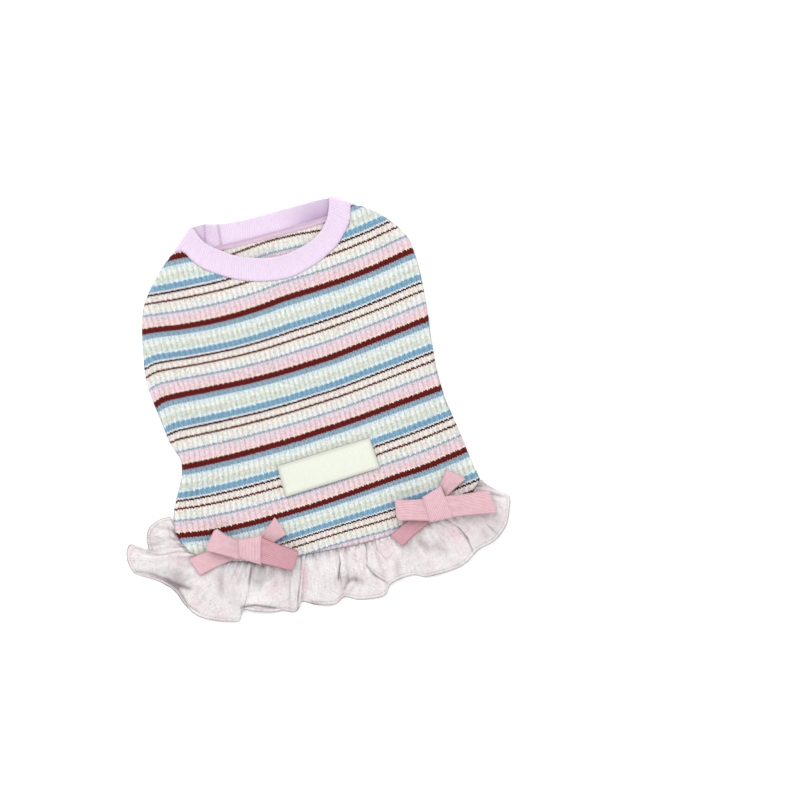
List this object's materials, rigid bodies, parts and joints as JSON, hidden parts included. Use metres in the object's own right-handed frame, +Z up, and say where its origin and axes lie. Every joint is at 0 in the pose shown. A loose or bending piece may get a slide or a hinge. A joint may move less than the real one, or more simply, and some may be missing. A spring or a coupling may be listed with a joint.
{
  "type": "dog dress",
  "caption": "Small dog's rib-knit dress laid flat on its belly, with a scooped neck band, a gathered hem ruffle, ribbon bows and a bare label.",
  "frame": {"origin": "a point on the belly panel's flat underside, near the middle of the body", "axes": "+Z up out of the surface the dress lies on, +Y from the hem to the neck, +X across the body along the stripes, to the right as seen from above"},
  "size_m": [0.2401, 0.2548, 0.0107],
  "materials": {
    "rib_knit": "striped cotton rib knit, matt",
    "neck_rib": "lilac fine rib, matt",
    "ruffle_cloth": "thin pale pink-white woven cloth, matt",
    "grosgrain_ribbon": "dusty pink grosgrain, faint sheen",
    "label_cloth": "off-white woven cloth, matt"
  },
  "bodies": {
    "root": {"back_panel": "rib_knit", "belly_panel": "rib_knit", "neck_band": "neck_rib", "hem_ruffle": "ruffle_cloth", "label": "label_cloth", "bow_left_knot": "grosgrain_ribbon", "bow_left_loop_a": "grosgrain_ribbon", "bow_left_loop_b": "grosgrain_ribbon", "bow_left_tail_a": "grosgrain_ribbon", "bow_left_tail_b": "grosgrain_ribbon", "bow_right_knot": "grosgrain_ribbon", "bow_right_loop_a": "grosgrain_ribbon", "bow_right_loop_b": "grosgrain_ribbon", "bow_right_tail_a": "grosgrain_ribbon", "bow_right_tail_b": "grosgrain_ribbon"}
  },
  "joints": []
}
